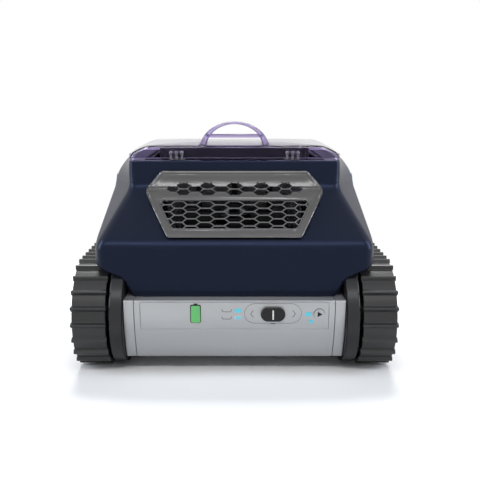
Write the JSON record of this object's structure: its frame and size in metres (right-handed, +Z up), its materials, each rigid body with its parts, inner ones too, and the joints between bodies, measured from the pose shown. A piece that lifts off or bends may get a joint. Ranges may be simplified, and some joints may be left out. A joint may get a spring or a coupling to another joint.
{
  "type": "robotic pool cleaner",
  "caption": "Cordless robotic pool cleaner with rubber tracks, hinged clear lid over the filter, pump outlet grille and front battery and control housing.",
  "frame": {"origin": "on the floor, midway between the tracks and midway between the axles, at the bottom centre of the bounding box", "axes": "+Z up, -Y towards the control panel, +X towards the right-hand track as seen facing the panel"},
  "size_m": [0.42, 0.399, 0.3245],
  "materials": {
    "shell_navy": "deep navy moulded shell, satin gloss",
    "panel_blue": "pale blue side insert",
    "bezel_metal": "dark metallic grey lacquer",
    "housing_silver": "fine satin silver lacquer",
    "frame_black": "near black moulded plastic",
    "inner_black": "black glass-filled plastic",
    "track_rubber": "black moulded track rubber",
    "clear_violet": "smoky violet clear polycarbonate",
    "gasket_rubber": "soft black sealing rubber",
    "filter_grey": "dark grey filter frame",
    "mesh_nylon": "fine woven nylon filter screen",
    "steel": "stainless steel",
    "acetal": "natural acetal",
    "cell_wrap": "shrink-wrapped battery cell",
    "board_green": "solder mask green circuit board",
    "light_cyan": "cyan light window",
    "light_green": "green charge indicator window",
    "knob_black": "gloss black slider",
    "button_silver": "silver push button",
    "motor_can": "zinc plated motor can",
    "brush_blue": "blue moulded brush blades",
    "impeller_plastic": "pale grey impeller"
  },
  "bodies": {
    "root": {"lower_chassis": "frame_black", "upper_shell": "shell_navy", "side_panel_left": "panel_blue", "side_panel_right": "panel_blue", "outlet_bezel": "bezel_metal", "outlet_grille": "bezel_metal", "battery_housing": "housing_silver", "end_cap_left": "housing_silver", "end_cap_right": "housing_silver", "battery_cells": "cell_wrap", "control_board": "board_green", "control_panel": "housing_silver", "battery_indicator": "light_green", "status_lights": "light_cyan", "electronics_case": "inner_black", "motor_mount": "inner_black", "pump_motor": "motor_can", "outlet_duct": "inner_black", "drive_motor_left": "motor_can", "drive_motor_right": "motor_can", "side_frame_left": "frame_black", "side_frame_right": "frame_black", "gear_cover_left": "frame_black", "gear_cover_right": "frame_black", "idler_axle_left": "steel", "idler_axle_right": "steel", "track_left": "track_rubber", "track_right": "track_rubber", "axle_bushes": "acetal", "filter_basket": "filter_grey", "filter_mesh": "mesh_nylon", "filter_top": "filter_grey", "flap_pin": "steel", "lid_hinge_brackets": "filter_grey", "lid_hinge_pins": "steel", "lid_gasket": "gasket_rubber", "chassis_screws": "steel"},
    "drive_left": {"drive_wheel_left": "inner_black", "wheel_gear_left": "acetal", "drive_axle_left": "steel", "hub_cap_rear_left": "button_silver"},
    "idler_left": {"idler_wheel_left": "inner_black", "hub_cap_front_left": "button_silver"},
    "pinion_left": {"motor_pinion_left": "steel"},
    "drive_right": {"drive_wheel_right": "inner_black", "wheel_gear_right": "acetal", "drive_axle_right": "steel", "hub_cap_rear_right": "button_silver"},
    "idler_right": {"idler_wheel_right": "inner_black", "hub_cap_front_right": "button_silver"},
    "pinion_right": {"motor_pinion_right": "steel"},
    "brush": {"brush_roller": "brush_blue", "brush_gear": "acetal"},
    "impeller": {"impeller": "impeller_plastic"},
    "intake_flap": {"intake_flap": "gasket_rubber"},
    "lid": {"lid": "clear_violet", "lid_hinge_leaves": "filter_grey"},
    "lid_latch": {"lid_latch": "filter_grey"},
    "mode_slider": {"mode_slider": "knob_black"},
    "start_button": {"start_button": "button_silver"}
  },
  "joints": [
    {"name": "drive_spin_left", "type": "hinge", "parent": "root", "child": "drive_left", "pos_m": [-0.187, 0.128, 0.0715], "axis": [1, 0, 0], "continuous": true},
    {"name": "idler_spin_left", "type": "hinge", "parent": "root", "child": "idler_left", "pos_m": [-0.187, -0.128, 0.0715], "axis": [1, 0, 0], "continuous": true},
    {"name": "pinion_spin_left", "type": "hinge", "parent": "root", "child": "pinion_left", "pos_m": [-0.1496, 0.078, 0.0715], "axis": [1, 0, 0], "continuous": true},
    {"name": "drive_spin_right", "type": "hinge", "parent": "root", "child": "drive_right", "pos_m": [0.187, 0.128, 0.0715], "axis": [1, 0, 0], "continuous": true},
    {"name": "idler_spin_right", "type": "hinge", "parent": "root", "child": "idler_right", "pos_m": [0.187, -0.128, 0.0715], "axis": [1, 0, 0], "continuous": true},
    {"name": "pinion_spin_right", "type": "hinge", "parent": "root", "child": "pinion_right", "pos_m": [0.1496, 0.078, 0.0715], "axis": [1, 0, 0], "continuous": true},
    {"name": "brush_spin", "type": "hinge", "parent": "root", "child": "brush", "pos_m": [0, 0.10054, 0.025], "axis": [1, 0, 0], "continuous": true},
    {"name": "impeller_spin", "type": "hinge", "parent": "root", "child": "impeller", "pos_m": [0, -0.1055, 0.186], "axis": [0, 1, 0], "continuous": true},
    {"name": "flap_hinge", "type": "hinge", "parent": "root", "child": "intake_flap", "pos_m": [0, 0.009, 0.1283], "axis": [1, 0, 0], "range_deg": [0, 60]},
    {"name": "lid_hinge", "type": "hinge", "parent": "root", "child": "lid", "pos_m": [0, -0.0935, 0.283], "axis": [1, 0, 0], "range_deg": [0, 95]},
    {"name": "latch_press", "type": "slide", "parent": "lid", "child": "lid_latch", "axis": [0, -1, 0], "range_m": [0, 0.003], "stiffness_N_per_m": 400},
    {"name": "mode_slide", "type": "slide", "parent": "root", "child": "mode_slider", "axis": [1, 0, 0], "range_m": [-0.008, 0.008], "stiffness_N_per_m": 120},
    {"name": "start_press", "type": "slide", "parent": "root", "child": "start_button", "axis": [0, 1, 0], "range_m": [0, 0.0015], "stiffness_N_per_m": 600}
  ],
  "couplings": [
    {"joint": "idler_spin_left", "follows": "drive_spin_left", "ratio": 1},
    {"joint": "pinion_spin_left", "follows": "drive_spin_left", "ratio": -4},
    {"joint": "idler_spin_right", "follows": "drive_spin_right", "ratio": 1},
    {"joint": "pinion_spin_right", "follows": "drive_spin_right", "ratio": -4},
    {"joint": "brush_spin", "follows": "drive_spin_right", "ratio": -2.8571}
  ]
}
